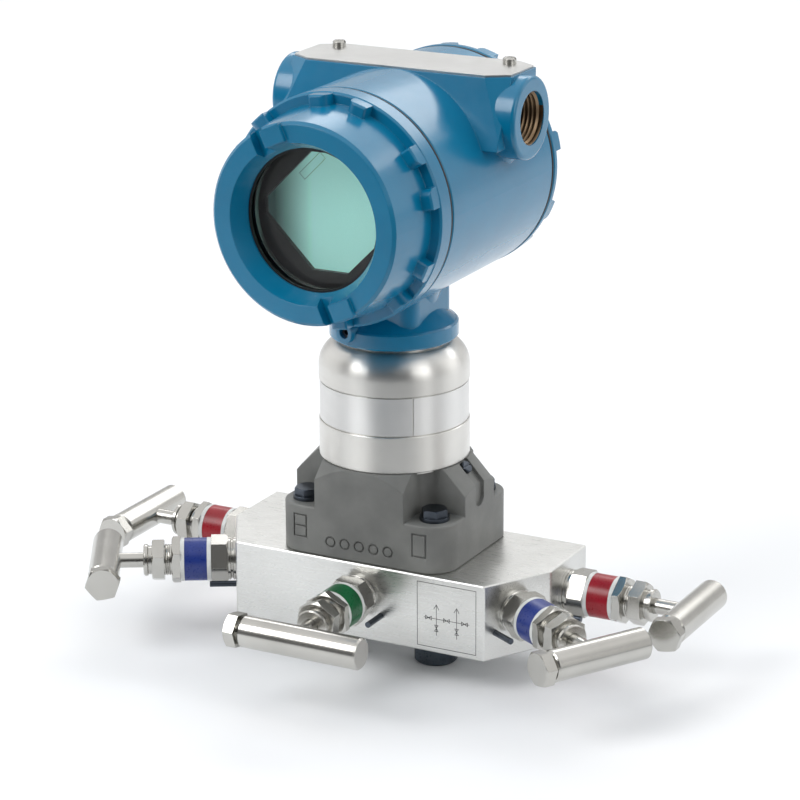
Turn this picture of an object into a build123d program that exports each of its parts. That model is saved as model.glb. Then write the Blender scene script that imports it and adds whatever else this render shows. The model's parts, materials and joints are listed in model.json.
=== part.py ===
from build123d import *
import os
from math import cos, sin, tan, radians, sqrt

# Pressure transmitter on a five-valve manifold block. Millimetres, +Z up.
# The origin lies on the sensor axis, on the manifold block's process face.
# +X runs along the block, and -Y is the side of the display.

# Manifold block
block_height = 31.75
block_front = 32.5
block_rear = 29.0
front_half_length = 56.5
rear_half_length = 72.5
chamfer_angle = 30.0
block_edge = 0.5
valve_axis_height = 18.4
vent_offset = 11.0
port_spacing = 44.0
port_offset = 6.5
port_hole_radius = 10.65
port_depth = 14.0
riser_radius = 2.4
pressure_port_spacing = 33.0
bracket_hole_spacing = 71.4
bracket_hole_radius = 3.97
bracket_hole_depth = 14.0

# Plastic plugs of the process ports
plug_head_radius = 8.8
plug_drop = 14.5
plug_shank_length = 10.0
plug_grip_groove = 0.5
thread_clearance = 0.05

# Cast base of the sensor module
base_length = 76.8
base_width = 62.0
base_corner_radius = 11.4
base_step_height = 20.0
base_height = 38.2
base_lip = 0.9
base_flare_angle = 42.0
base_edge = 0.9
bolt_inset_x = 9.6
bolt_inset_y = 10.2
pocket_inner_gap = 8.7
pocket_rear_gap = 7.9
pocket_corner_radius = 5.0
relief_depth = 0.5
relief_height = 6.6
relief_ring_count = 5
relief_ring_step = 6.5
relief_ring_radius = 2.3
relief_line = 0.6
relief_frame_width = 6.3
relief_frame_height = 9.8
relief_frame_gap = 3.6

# Bolts through the base into the block
bolt_radius = 4.0
bolt_hole_clearance = 0.3
bolt_head_flats = 9.6
bolt_head_height = 3.0
bolt_washer_radius = 6.0
bolt_washer_height = 1.7
bolt_thread_depth = 10.5

# Isolating diaphragms and their seals, between block and base
diaphragm_radius = 8.0
diaphragm_thickness = 0.6
seal_outer_radius = 10.0
seal_inner_radius = 8.3
seal_groove_depth = 1.4

# Small screw in the base's side pocket
side_screw_radius = 1.5
side_screw_head_radius = 2.6
side_screw_head_height = 1.8
side_screw_length = 7.0
side_screw_drop = 2.7
side_pocket_width = 7.6
side_pocket_depth = 2.0
side_pocket_foot = 20.5
side_pocket_foot_depth = 1.3

# Turned sensor can
can_radius = 30.4
can_seat_step = 2.9
can_seat_depth = 1.5
can_lower_ring = 15.2
can_band_length = 16.4
can_band_recess = 0.8
can_shoulder_start = 5.5
can_top_step = 6.9
can_top_height = 47.6
can_seam_width = 0.5
label_thickness = 0.45

# Neck of the module, which the housing turns on
neck_flange_radius = 22.0
neck_flange_height = 0.8
neck_gap = 0.8
neck_radius = 17.0
neck_length = 15.0
running_clearance = 0.06
neck_seal_radius = 20.0
neck_seal_width = 1.6

# Housing casting
collar_to_axis = 61.7
collar_radius = 25.9
collar_height = 7.0
neck_square = 36.0
neck_corner_radius = 6.0
neck_hip_height = 5.0
neck_flare = 8.0
barrel_radius = 45.8
barrel_front = 38.0
barrel_rear = 50.0
compartment_radius = 38.5
cover_thread_radius = 40.6
cover_thread_depth = 12.0
divider_front = 4.0
divider_rear = 1.0
conduit_radius = 16.6
conduit_hole_radius = 10.65
conduit_half_span = 53.6
conduit_thread_length = 18.0
conduit_throat_radius = 9.5
conduit_throat_end = 22.0
conduit_y = 14.1
conduit_z = 28.8
conduit_rim_round = 1.6
swelling_radius = 9.0
swelling_drop = 10.5
swelling_end = 46.5
saddle_half_length = 48.5
saddle_front = 1.0
saddle_rear = 33.5
saddle_corner = 9.0
saddle_corner_ratio = 0.62
saddle_top = 45.8
saddle_height = 27.0
saddle_slope = 7.5
saddle_facet_reach = 2.0
set_screw_angle = -108.0
set_screw_boss_radius = 4.4
set_screw_radius = 2.5
set_screw_reach = 27.6
wire_hole_radius = 6.0
wire_hole_y = -10.5

# Covers, screwed into both ends of the barrel
cover_seam = 1.5
cover_rim_radius = 46.0
cover_rim_width = 8.8
cover_barrel_radius = 41.6
cover_face_radius = 39.4
cover_length = 33.6
cover_inner_radius = 36.0
cover_face_inner_radius = 31.4
cover_skirt_length = 11.5
cover_skirt_wall = 3.0
lug_count = 12
lug_width = 8.0
lug_length = 5.4
lug_pair_angle = 22.0
lug_first_angle = 24.0
lug_nose_radius = 3.4
lug_edge = 0.7
wrench_slot_width = 5.6
wrench_slot_depth = 4.5
wrench_slot_offset = 4.3
wrench_pad_width = 9.0
wrench_pad_height = 1.8
wrench_angle = 114.0
rear_rim_width = 3.4
rear_cap_height = 5.4
rear_cap_radius = 40.0
rear_cap_wall = 4.0
seal_section = 1.3
seal_radius = 45.2

# Window of the front cover
glass_radius = 31.5
glass_depth = 8.3
glass_thickness = 6.0
window_radius = 27.2
gasket_width = 1.0
retainer_thickness = 2.5

# Display and electronics in the front compartment
bezel_radius = 33.5
bezel_front = 50.5
bezel_depth = 15.0
panel_half_width = 27.7
panel_half_height = 23.2
panel_corner_reach = 30.9
panel_overlap = 1.4
panel_recess = 2.0
panel_thickness = 2.0
board_radius = 34.0
board_thickness = 1.6
standoff_radius = 2.5

# Terminal block in the rear compartment
terminal_radius = 33.0
terminal_thickness = 14.0
terminal_top = 16.0
terminal_post_spacing = 14.0
terminal_screw_radius = 4.2
terminal_screw_head = 2.2
terminal_recess = 5.0
terminal_thread_radius = 2.0

# Nameplate
plate_thickness = 0.8
plate_margin = 0.8
plate_screw_spacing = 76.0
plate_screw_offset = 26.0
plate_screw_radius = 1.6
plate_screw_head_radius = 2.7
plate_screw_head_height = 2.6
plate_screw_length = 7.0
slot_width = 0.8

# Needle valves: stations along the axis, from the block's face
socket_radius = 7.05
socket_depth = 12.0
seat_radius = 2.0
seat_length = 10.0
tail_radius = 7.0
collar_length = 3.3
bonnet_collar_radius = 8.7
bonnet_groove = 0.6
bonnet_hex_flats = 17.5
bonnet_hex_length = 7.1
band_radius = 8.9
band_wall = 1.4
band_length = 12.7
bonnet_thread_radius = 6.2
lock_nut_flats = 17.5
lock_nut_length = 3.5
gland_gap = 3.1
gland_nut_flats = 15.9
gland_nut_length = 5.1
gland_collar_radius = 6.6
gland_collar_length = 3.5
gland_thread_radius = 5.2
stem_radius = 3.1
stem_clearance = 0.15
packing_radius = 4.4
packing_length = 4.0
tip_chamber_radius = 4.6
tip_radius = 4.4
tip_length = 6.5
valve_travel = 6.0
handle_reach = 54.0
handle_radius = 6.35
handle_bolt_end = 22.0
handle_far_end = 22.0
equalize_bolt_end = 21.0
equalize_far_end = 31.0
handle_bolt_radius = 2.5
handle_bolt_collar_radius = 4.1
handle_bolt_flats = 12.7
handle_bolt_head = 4.8
handle_bolt_neck = 1.2
stem_end_gap = 3.0
pin_radius = 1.25
pin_reach = 11.0
pin_depth = 5.0
pin_side_step = 10.5
pin_drop = 7.1

# Places worked out from the sizes above
base_bottom = block_height
can_bottom = block_height + base_height
bolt_x = base_length / 2.0 - bolt_inset_x
bolt_y = base_width / 2.0 - bolt_inset_y
base_top_radius = can_radius + base_lip
can_seat_radius = can_radius - can_seat_step
can_top_radius = can_radius - can_top_step
neck_base = can_bottom + can_top_height + neck_flange_height
collar_z = neck_base + neck_gap
housing_axis = collar_z + collar_to_axis
chamfer_rear = -block_front + (rear_half_length - front_half_length) / sin(radians(chamfer_angle)) * cos(
    radians(chamfer_angle)
)
band_start = collar_length + bonnet_hex_length
lock_nut_start = band_start + band_length
gland_start = lock_nut_start + lock_nut_length + gland_gap
gland_end = gland_start + gland_nut_length + gland_collar_length
y_axis = Plane(origin=(0, 0, housing_axis), x_dir=(1, 0, 0), z_dir=(0, 1, 0))
saved = {}


def keep(name, *solids):
    """Stores the separate solids of one piece, or of one kind of fastener."""
    found = []
    for item in solids:
        found.extend(item.solids())
    saved[name] = Compound(children=found) if len(found) > 1 else found[0]


def turned(points):
    """A solid turned about Z from a half outline of (radius, height) points."""
    face = make_face(Plane.XZ * Polyline(*points, close=True))
    return revolve(face, Axis.Z)


def disc(radius, z_low, z_high, x=0.0, y=0.0):
    """A plain cylinder along Z between two heights."""
    return Pos(x, y, z_low) * Cylinder(radius, z_high - z_low, align=(Align.CENTER, Align.CENTER, Align.MIN))


def block_between(low, high):
    """A box between two corners."""
    size = [h - l for l, h in zip(low, high)]
    return Pos(*low) * Box(*size, align=(Align.MIN, Align.MIN, Align.MIN))


def hex_prism(flats, z_low, z_high, turn=0.0):
    """A hexagonal prism along Z with its top corners chamfered by a cone."""
    corner = flats / sqrt(3.0)
    prism = extrude(Rot(0, 0, turn) * RegularPolygon(corner, 6), z_high - z_low)
    rise = corner - flats / 2.0
    cone = turned(
        [(0, 0), (corner, 0), (corner, z_high - z_low - 0.6 * rise), (flats / 2.0, z_high - z_low), (0, z_high - z_low)]
    )
    return Pos(0, 0, z_low) * (prism & cone)


def valve_places():
    """Name, face point, outward direction, pin side and handle bolt side of each valve."""
    chamfer_x = (front_half_length + rear_half_length) / 2.0
    chamfer_y = (chamfer_rear - block_front) / 2.0
    places = [("equalize", (0.0, -block_front), -90.0, 1, -1)]
    for side, word in ((-1, "left"), (1, "right")):
        angle = -chamfer_angle if side > 0 else 180.0 + chamfer_angle
        places.append((f"isolate_{word}", (side * chamfer_x, chamfer_y), angle, -side, -side))
        vent_angle = 0.0 if side > 0 else 180.0
        places.append((f"vent_{word}", (side * rear_half_length, vent_offset), vent_angle, -side, -side))
    return places


def valve_frame(point, angle):
    """Frame of one valve: origin on the block's face, Z outward along the stem."""
    outward = (cos(radians(angle)), sin(radians(angle)), 0)
    across = (-sin(radians(angle)), cos(radians(angle)), 0)
    return Plane(origin=(point[0], point[1], valve_axis_height), x_dir=across, z_dir=outward).location


def make_manifold_block():
    """The bar-stock block with its valve sockets, process ports and passages."""
    outline = [
        (-front_half_length, -block_front),
        (front_half_length, -block_front),
        (rear_half_length, chamfer_rear),
        (rear_half_length, block_rear),
        (-rear_half_length, block_rear),
        (-rear_half_length, chamfer_rear),
    ]
    block = extrude(make_face(Polyline(*outline, close=True)), block_height)
    block = chamfer(block.edges(), block_edge)
    for _, point, angle, pin_side, _ in valve_places():
        frame = valve_frame(point, angle)
        block -= frame * disc(socket_radius, -socket_depth, 1.0)
        block -= frame * disc(seat_radius, -socket_depth - seat_length, 0.0)
        block -= frame * disc(pin_radius, -pin_depth, 1.0, pin_side * pin_side_step, -pin_drop)
    for side in (-1, 1):
        x = side * port_spacing / 2.0
        block -= disc(port_hole_radius, -1.0, port_depth, x, -port_offset)
        block -= disc(riser_radius, port_depth - 1.0, valve_axis_height, x, -port_offset)
        x = side * pressure_port_spacing / 2.0
        block -= disc(riser_radius, valve_axis_height, block_height + 1.0, x)
        x = side * bracket_hole_spacing / 2.0
        hole = Pos(x, block_rear - bracket_hole_depth, block_height / 2.0) * Rot(-90, 0, 0) * disc(
            bracket_hole_radius, 0.0, bracket_hole_depth + 1.0
        )
        block -= hole
        for row in (-1, 1):
            block -= disc(
                bolt_radius,
                block_height - bolt_thread_depth - 0.5,
                block_height + 1.0,
                side * bolt_x,
                row * bolt_y,
            )
    keep("manifold_block", block)


def make_process_plugs():
    """Two plastic plugs that close the process ports and that the block stands on."""
    plugs = []
    shank = port_hole_radius - thread_clearance
    profile = [
        (0, plug_shank_length),
        (shank - 1.0, plug_shank_length),
        (shank, plug_shank_length - 1.0),
        (shank, 0),
        (plug_head_radius, 0),
        (plug_head_radius, -3.0),
        (plug_head_radius - plug_grip_groove, -3.5),
        (plug_head_radius - plug_grip_groove, -4.5),
        (plug_head_radius, -5.0),
        (plug_head_radius, 0.8 - plug_drop),
        (plug_head_radius - 0.8, -plug_drop),
        (0, -plug_drop),
    ]
    for side in (-1, 1):
        plugs.append(Pos(side * port_spacing / 2.0, -port_offset, 0) * turned(profile))
    keep("process_plugs", *plugs)


def flare_cone(inset):
    """The cone that the base flares down from the can, moved inward by an inset."""
    reach = base_height * tan(radians(base_flare_angle))
    top = base_top_radius - inset
    return turned([(0, base_bottom), (top + reach, base_bottom), (top, can_bottom), (0, can_bottom)])


def bolt_pocket(sx, sy):
    """The room cut from one corner of the base's upper part for a bolt's head."""
    width = base_length / 2.0 - bolt_x + pocket_inner_gap + pocket_corner_radius
    depth = base_width / 2.0 - bolt_y + pocket_rear_gap + pocket_corner_radius
    x = sx * (bolt_x - pocket_inner_gap + width / 2.0)
    y = sy * (bolt_y - pocket_rear_gap + depth / 2.0)
    plan = RectangleRounded(width, depth, pocket_corner_radius)
    return Pos(x, y, base_bottom - 1.0) * extrude(plan, base_height + 2.0)


def make_module_base():
    """Cast base: a rounded block that flares up to the can, with four bolt pockets."""
    plan = RectangleRounded(base_length, base_width, base_corner_radius)
    lower = Pos(0, 0, base_bottom) * extrude(plan, base_step_height)
    lower = fillet(lower.edges().group_by(Axis.Z)[-1], base_edge)
    lower = chamfer(lower.edges().group_by(Axis.Z)[0], base_edge / 2.0)
    upper = Pos(0, 0, base_bottom + base_edge) * extrude(plan, base_height - base_edge)
    upper &= flare_cone(0.0)
    for sx in (-1, 1):
        for sy in (-1, 1):
            upper -= bolt_pocket(sx, sy)
    base = lower + upper
    for sx in (-1, 1):
        for sy in (-1, 1):
            base -= disc(bolt_radius + bolt_hole_clearance, base_bottom - 1.0, can_bottom, sx * bolt_x, sy * bolt_y)
    base -= disc(can_seat_radius + thread_clearance, can_bottom - can_seat_depth, can_bottom + 1.0)
    for side in (-1, 1):
        x = side * pressure_port_spacing / 2.0
        base -= disc(diaphragm_radius, base_bottom - 1.0, base_bottom + 1.0, x)
        base -= disc(seal_outer_radius, base_bottom - 1.0, base_bottom + seal_groove_depth, x) - disc(
            seal_inner_radius, base_bottom - 2.0, base_bottom + seal_groove_depth + 1.0, x
        )
    base = base_relief(base)
    base = base_side_pocket(base)
    keep("module_base", base)


def base_relief(base):
    """Low cast marks round the front: five rings and two framed panels, all bare."""
    plan = RectangleRounded(base_length + 2.0, base_width + 2.0, base_corner_radius + 1.0)
    core = RectangleRounded(
        base_length - 2.0 * relief_depth, base_width - 2.0 * relief_depth, base_corner_radius - relief_depth
    )
    skin = Pos(0, 0, base_bottom) * (extrude(plan, base_step_height) - extrude(core, base_step_height))
    marks = []
    for index in range(relief_ring_count):
        x = relief_ring_step * (index - (relief_ring_count - 1) / 2.0)
        place = Pos(x, -base_width / 3.0, base_bottom + relief_height) * Rot(90, 0, 0)
        ring = disc(relief_ring_radius, 0, base_width) - disc(relief_ring_radius - relief_line, 0, base_width)
        marks.append(place * ring)
    for side in (-1, 1):
        x = side * (bolt_x - pocket_inner_gap + relief_frame_gap + relief_frame_width / 2.0)
        z = base_bottom + relief_height + relief_frame_height / 2.0
        bars = 2 if side < 0 else 1
        marks.append(Pos(x, -base_width / 2.0, z) * framed_panel(bars))
    for mark in marks:
        base -= mark & skin
    return base


def framed_panel(rooms):
    """The cutter of a rectangular frame line with one or two rooms."""
    depth = base_corner_radius
    frame = Box(relief_frame_width, depth, relief_frame_height)
    room = (relief_frame_height - relief_line * (rooms + 1)) / rooms
    for index in range(rooms):
        z = -relief_frame_height / 2.0 + relief_line * (index + 1) + room * (index + 0.5)
        frame -= Pos(0, 0, z) * Box(relief_frame_width - 2.0 * relief_line, depth + 2.0, room)
    return frame


def side_screw_place():
    """Frame of the small screw: Z points out of the right flank, square to its slope."""
    angle = radians(base_flare_angle)
    x = base_top_radius - side_pocket_depth + side_screw_drop * tan(angle)
    return Plane(
        origin=(x, 0, can_bottom - side_screw_drop), x_dir=(0, 1, 0), z_dir=(cos(angle), 0, sin(angle))
    ).location


def base_side_pocket(base):
    """A round-footed channel down the right flank with a tapped hole for the small screw."""
    half = side_pocket_width / 2.0
    foot = base_bottom + side_pocket_foot
    channel = Pos(0, 0, foot + half) * Rot(0, 90, 0) * disc(half, 0, base_length)
    channel += block_between((0, -half, foot + half), (base_length, half, can_bottom + 1.0))
    wall = disc(base_length, foot - 1.0, can_bottom + 1.0) - block_between(
        (0, -base_width, base_bottom), (base_length / 2.0 - side_pocket_foot_depth, base_width, can_bottom + 1.0)
    )
    outside = disc(base_length, base_bottom, can_bottom) - flare_cone(side_pocket_depth)
    base -= channel & (wall + outside)
    base -= side_screw_place() * disc(side_screw_radius, -side_screw_length, 1.0)
    return base


def make_base_side_screw():
    """Small slotted screw in the base's side notch."""
    head_height = side_screw_head_height
    screw = disc(side_screw_radius - thread_clearance, 0.5 - side_screw_length, 0.0)
    head = disc(side_screw_head_radius, 0.0, head_height)
    head = chamfer(head.edges().group_by(Axis.Z)[-1], 0.4)
    slot = block_between(
        (-can_radius, -slot_width / 2.0, head_height - 0.8), (can_radius, slot_width / 2.0, head_height + 1.0)
    )
    keep("base_side_screw", side_screw_place() * (screw + head - slot))


def make_base_bolts():
    """Four flanged hex bolts from the base's pockets down into the block."""
    floor = base_bottom + base_step_height
    bolts = []
    for sx in (-1, 1):
        for sy in (-1, 1):
            washer = disc(bolt_washer_radius, 0, bolt_washer_height)
            head = hex_prism(
                bolt_head_flats, bolt_washer_height, bolt_washer_height + bolt_head_height, 12.0 * sx + 7.0 * sy
            )
            shank = disc(
                bolt_radius - thread_clearance, -base_step_height - bolt_thread_depth, bolt_washer_height + 0.5
            )
            place = Pos(sx * bolt_x, sy * bolt_y, floor)
            bolts.append(place * (washer + head + shank))
    keep("base_bolts", *bolts)


def make_diaphragms_and_seals():
    """Two thin diaphragms in the base's underside, each inside a flat seal ring."""
    discs = []
    rings = []
    for side in (-1, 1):
        x = side * pressure_port_spacing / 2.0
        low = base_bottom + 1.0 - diaphragm_thickness
        discs.append(disc(diaphragm_radius - thread_clearance, low, base_bottom + 1.0, x))
        outer = disc(seal_outer_radius - thread_clearance, base_bottom, base_bottom + seal_groove_depth, x)
        inner = disc(seal_inner_radius + thread_clearance, base_bottom - 1.0, base_bottom + 2.0, x)
        rings.append(outer - inner)
    keep("isolating_diaphragms", *discs)
    keep("flange_seals", *rings)


def make_sensor_can():
    """Turned can of the sensor module, with a band recess and a rounded shoulder."""
    band_low = can_bottom + can_lower_ring
    band_high = band_low + can_band_length
    shoulder = band_high + can_shoulder_start
    top = can_bottom + can_top_height
    floor_radius = can_radius - can_band_recess
    lower = [
        (0, can_bottom - can_seat_depth),
        (can_seat_radius, can_bottom - can_seat_depth),
        (can_seat_radius, can_bottom),
        (can_radius - 0.4, can_bottom),
        (can_radius, can_bottom + 0.4),
        (can_radius, band_low - 0.3),
        (can_radius - 0.3, band_low),
        (floor_radius, band_low),
        (floor_radius, band_high),
        (can_radius - 0.3, band_high),
        (can_radius, band_high + 0.3),
        (can_radius, shoulder),
    ]
    edge = Polyline(*lower)
    crown = ThreePointArc(
        (can_radius, shoulder),
        (can_radius - 1.9, shoulder + 0.62 * (top - shoulder)),
        (can_top_radius, top),
    )
    close = Polyline((can_top_radius, top), (0, top), (0, can_bottom - can_seat_depth))
    profile = make_face(Plane.XZ * (edge + crown + close))
    can = revolve(profile, Axis.Z)
    keep("sensor_can", can)
    outer = floor_radius + label_thickness
    band = disc(outer, band_low + can_seam_width, band_high - can_seam_width) - disc(
        floor_radius + thread_clearance, band_low, band_high
    )
    seam = Rot(0, 0, -48) * block_between((0, -0.3, band_low), (2 * can_radius, 0.3, band_high))
    keep("can_label_band", band - seam)


def make_module_neck():
    """Threaded neck on top of the can, which the housing turns on, and its seal."""
    top = collar_z + neck_length
    can_top = can_bottom + can_top_height
    profile = [
        (0, can_top),
        (neck_flange_radius, can_top),
        (neck_flange_radius, neck_base),
        (neck_radius, neck_base),
        (neck_radius, top - 1.0),
        (neck_radius - 1.0, top),
        (11.0, top),
        (11.0, top - 5.0),
        (0, top - 5.0),
    ]
    keep("module_neck", turned(profile))
    ring = disc(neck_seal_radius + neck_seal_width / 2.0, neck_base, collar_z - running_clearance) - disc(
        neck_seal_radius - neck_seal_width / 2.0, neck_base - 1.0, collar_z
    )
    keep("neck_seal", ring)


def saddle_outline(shrink=0.0):
    """Plan of the saddle and the plate: a rectangle with its corners cut."""
    half = saddle_half_length - shrink
    front = saddle_front + shrink
    rear = saddle_rear - shrink
    cut = saddle_corner - 0.6 * shrink
    side_cut = saddle_corner_ratio * cut
    points = [
        (-half + cut, front),
        (half - cut, front),
        (half, front + side_cut),
        (half, rear - side_cut),
        (half - cut, rear),
        (-half + cut, rear),
        (-half, rear - side_cut),
        (-half, front + side_cut),
    ]
    return make_face(Polyline(*points, close=True))


def make_housing_body():
    """One casting: barrel, conduit bosses, saddle, neck and collar, with two compartments."""
    barrel = y_axis * disc(barrel_radius, -barrel_front, barrel_rear)
    barrel = chamfer(barrel.edges().filter_by(GeomType.CIRCLE), 0.6)
    conduit_place = Pos(0, conduit_y, housing_axis + conduit_z)
    bosses = conduit_place * Rot(0, 90, 0) * disc(conduit_radius, -conduit_half_span, conduit_half_span)
    bosses = fillet(bosses.edges().filter_by(GeomType.CIRCLE), conduit_rim_round)
    swelling = conduit_place * Pos(0, 0, -swelling_drop) * Rot(0, 90, 0) * disc(
        swelling_radius, -swelling_end, swelling_end
    )
    swelling = fillet(swelling.edges().filter_by(GeomType.CIRCLE), swelling_radius / 2.0)
    body = barrel + bosses + swelling + housing_saddle() + housing_neck()
    top = housing_axis + saddle_top
    body -= y_axis * disc(cover_thread_radius, -barrel_front - 1.0, -barrel_front + cover_thread_depth)
    body -= y_axis * disc(compartment_radius, -barrel_front, -divider_front)
    body -= y_axis * disc(cover_thread_radius, barrel_rear - cover_thread_depth, barrel_rear + 1.0)
    body -= y_axis * disc(compartment_radius, divider_rear, barrel_rear)
    for side in (-1, 1):
        hole = disc(conduit_hole_radius, conduit_half_span - conduit_thread_length, conduit_half_span + 1.0)
        hole += disc(conduit_throat_radius, conduit_throat_end, conduit_half_span)
        body -= conduit_place * Rot(0, 90 * side, 0) * hole
        screw_x = side * plate_screw_spacing / 2.0
        body -= disc(plate_screw_radius, top - plate_screw_length, top + 1.0, screw_x, plate_screw_offset)
    body -= disc(neck_radius + running_clearance, collar_z - 1.0, collar_z + neck_length + 0.6)
    body -= disc(wire_hole_radius, collar_z + neck_length, housing_axis - compartment_radius + 6.0, 0, wire_hole_y)
    body -= set_screw_place() * disc(set_screw_radius, neck_radius - 1.0, set_screw_reach + 1.0)
    keep("housing_body", body)


def housing_saddle():
    """Saddle under the plate: a sloping front wall with a flat facet at both of its ends."""
    top = housing_axis + saddle_top
    low = top - saddle_height
    section = [(saddle_front, top), (saddle_rear, top), (saddle_rear, low), (saddle_front - saddle_slope, low)]
    saddle = extrude(make_face(Plane.YZ * Polyline(*section, close=True)), saddle_half_length, both=True)
    side_cut = saddle_corner * saddle_corner_ratio
    for side in (-1, 1):
        corner = Vector(side * (saddle_half_length - saddle_corner), saddle_front, top)
        end = Vector(side * saddle_half_length, saddle_front + side_cut, top)
        foot = Vector(side * (saddle_half_length + saddle_facet_reach), saddle_front - saddle_slope, low)
        outward = (foot - corner).cross(end - corner) * side
        facet = Plane(origin=corner, z_dir=outward).location
        size = 4.0 * saddle_half_length
        saddle -= facet * Box(size, size, saddle_half_length, align=(Align.CENTER, Align.CENTER, Align.MIN))
        rear = make_face(
            Polyline(
                (side * (saddle_half_length + 1.0), saddle_rear - side_cut - 1.0 * saddle_corner_ratio),
                (side * (saddle_half_length - saddle_corner - 1.0), saddle_rear + 1.0 * saddle_corner_ratio),
                (side * (saddle_half_length + 1.0), saddle_rear + 1.0),
                close=True,
            )
        )
        saddle -= Pos(0, 0, low - 1.0) * extrude(rear, saddle_height + 2.0)
    return saddle


def set_screw_place():
    """Frame of the set screw: Z points out from the neck's axis."""
    angle = radians(set_screw_angle)
    return Plane(origin=(0, 0, collar_z + 6.2), x_dir=(0, 0, 1), z_dir=(cos(angle), sin(angle), 0)).location


def housing_neck():
    """Round collar, square neck and set screw boss below the barrel."""
    collar = disc(collar_radius, collar_z, collar_z + collar_height)
    collar = chamfer(collar.edges().filter_by(GeomType.CIRCLE), 0.8)
    column_top = housing_axis - barrel_radius + 8.0
    plan = RectangleRounded(neck_square, neck_square, neck_corner_radius)
    column = Pos(0, 0, collar_z + 1.0) * extrude(plan, column_top - collar_z - 1.0)
    boss = set_screw_place() * disc(set_screw_boss_radius, neck_radius + 1.0, set_screw_reach)
    hip_low = collar_z + collar_height
    neck_half = neck_square / 2.0
    hip = turned(
        [
            (0, hip_low - 1.0),
            (collar_radius - 1.0, hip_low - 1.0),
            (collar_radius - 1.0, hip_low),
            (neck_half, hip_low + neck_hip_height),
            (0, hip_low + neck_hip_height),
        ]
    )
    flare_low = hip_low + neck_hip_height / 2.0
    flare_top = flare_low + 2.0 * neck_flare
    sweep_edge = ThreePointArc(
        (neck_half, flare_low),
        (neck_half + 0.3 * neck_flare, flare_low + 1.4 * neck_flare),
        (neck_half + neck_flare, flare_top),
    )
    sides = Polyline((neck_half + neck_flare, flare_top), (0, flare_top), (0, flare_low), (neck_half, flare_low))
    flare = revolve(make_face(Plane.XZ * (sweep_edge + sides)), Axis.Z)
    return collar + column + boss + hip + flare


def make_set_screw():
    """Socket set screw that locks the housing on the neck."""
    outer = set_screw_reach - 1.5
    screw = disc(set_screw_radius - thread_clearance, neck_radius + 0.4, outer)
    socket = Pos(0, 0, outer - 2.0) * extrude(RegularPolygon(1.4, 6), 3.0)
    keep("housing_set_screw", set_screw_place() * (screw - socket))


def lug_ring(y_low, y_high, inner, free_end):
    """The cover's wrench lugs in pairs: a rounded nose towards the partner, a square end away from it."""
    outer = cover_rim_radius - 0.3
    limit = chamfer(disc(outer, y_low, y_high).edges().group_by(Axis.Z)[free_end], lug_edge)
    lugs = []
    for index in range(lug_count):
        side = -1 if index % 2 else 1
        angle = lug_first_angle + (index // 2) * 720.0 / lug_count + side * lug_pair_angle / 2.0
        block = block_between((inner - 1.5, -lug_width / 2.0, y_low), (outer + 2.0, lug_width / 2.0, y_high))
        ends = block.edges().filter_by(Axis.X).group_by(Axis.Z)[free_end].sort_by(Axis.Y)
        nose = ends[-1] if side > 0 else ends[0]
        back = ends[0] if side > 0 else ends[-1]
        block = fillet(nose, lug_nose_radius)
        block = chamfer(nearest_edge(block, back), lug_edge)
        lugs.append(Rot(0, 0, -angle) * (block & limit))
    return lugs


def nearest_edge(solid, edge):
    """The edge of a solid whose middle lies nearest another edge's middle."""
    return solid.edges().sort_by_distance(edge.center())[0]


def make_front_cover():
    """Windowed display cover with its rim, lugs, wrench slots and threaded skirt."""
    rim_back = -barrel_front - cover_seam
    rim_front = rim_back - cover_rim_width
    face = rim_back - cover_length
    seat = face + glass_depth
    stop = seat + gasket_width + glass_thickness + retainer_thickness
    skirt_outer = cover_thread_radius - running_clearance
    skirt_inner = skirt_outer - cover_skirt_wall
    profile = [
        (cover_face_inner_radius, face),
        (cover_face_radius - 1.2, face),
        (cover_face_radius, face + 1.2),
        (cover_barrel_radius, rim_front),
        (cover_rim_radius - 0.8, rim_front),
        (cover_rim_radius, rim_front + 0.8),
        (cover_rim_radius, rim_back - 0.5),
        (cover_rim_radius - 0.5, rim_back),
        (skirt_outer, rim_back),
        (skirt_outer, rim_back + cover_skirt_length),
        (skirt_inner, rim_back + cover_skirt_length),
        (skirt_inner, rim_back),
        (cover_inner_radius, rim_back - 2.0),
        (cover_inner_radius, stop),
        (glass_radius + thread_clearance, stop),
        (glass_radius + thread_clearance, seat),
        (window_radius + 0.8, seat),
        (window_radius + 0.8, seat - 1.0),
    ]
    cover = turned(profile)
    for lug in lug_ring(rim_front - lug_length, rim_front + 0.5, cover_barrel_radius, 0):
        cover += lug
    for end in (0, 180):
        pad = block_between(
            (cover_face_inner_radius + 0.2, -wrench_pad_width / 2.0, face - wrench_pad_height),
            (cover_face_radius - 0.8, wrench_pad_width / 2.0, face + 3.0),
        )
        side = -1 if end else 1
        shift = side * (wrench_slot_width / 2.0 + wrench_pad_width / 2.0 - wrench_slot_offset)
        slot = block_between(
            (cover_face_inner_radius - 6.0, -wrench_slot_width / 2.0, face - 2.0),
            (cover_rim_radius, wrench_slot_width / 2.0, face + wrench_slot_depth),
        )
        turn = Rot(0, 0, -(wrench_angle + end))
        cover += turn * Pos(0, shift, 0) * pad
        cover -= turn * Pos(0, -side * wrench_slot_offset, 0) * slot
    keep("front_cover", y_axis * cover)
    make_window(seat)


def make_window(seat):
    """Glass of the front cover, its gasket and the ring that holds both in."""
    glass_low = seat + gasket_width
    glass_high = glass_low + glass_thickness
    gasket = disc(glass_radius - thread_clearance, seat, glass_low) - disc(window_radius, seat - 1.0, glass_low + 1.0)
    glass = disc(glass_radius - thread_clearance, glass_low, glass_high)
    ring = disc(glass_radius - thread_clearance, glass_high, glass_high + retainer_thickness) - disc(
        window_radius + 1.0, glass_high - 1.0, glass_high + retainer_thickness + 1.0
    )
    keep("window_gasket", y_axis * gasket)
    keep("window_glass", y_axis * glass)
    keep("window_retainer", y_axis * ring)


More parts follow.
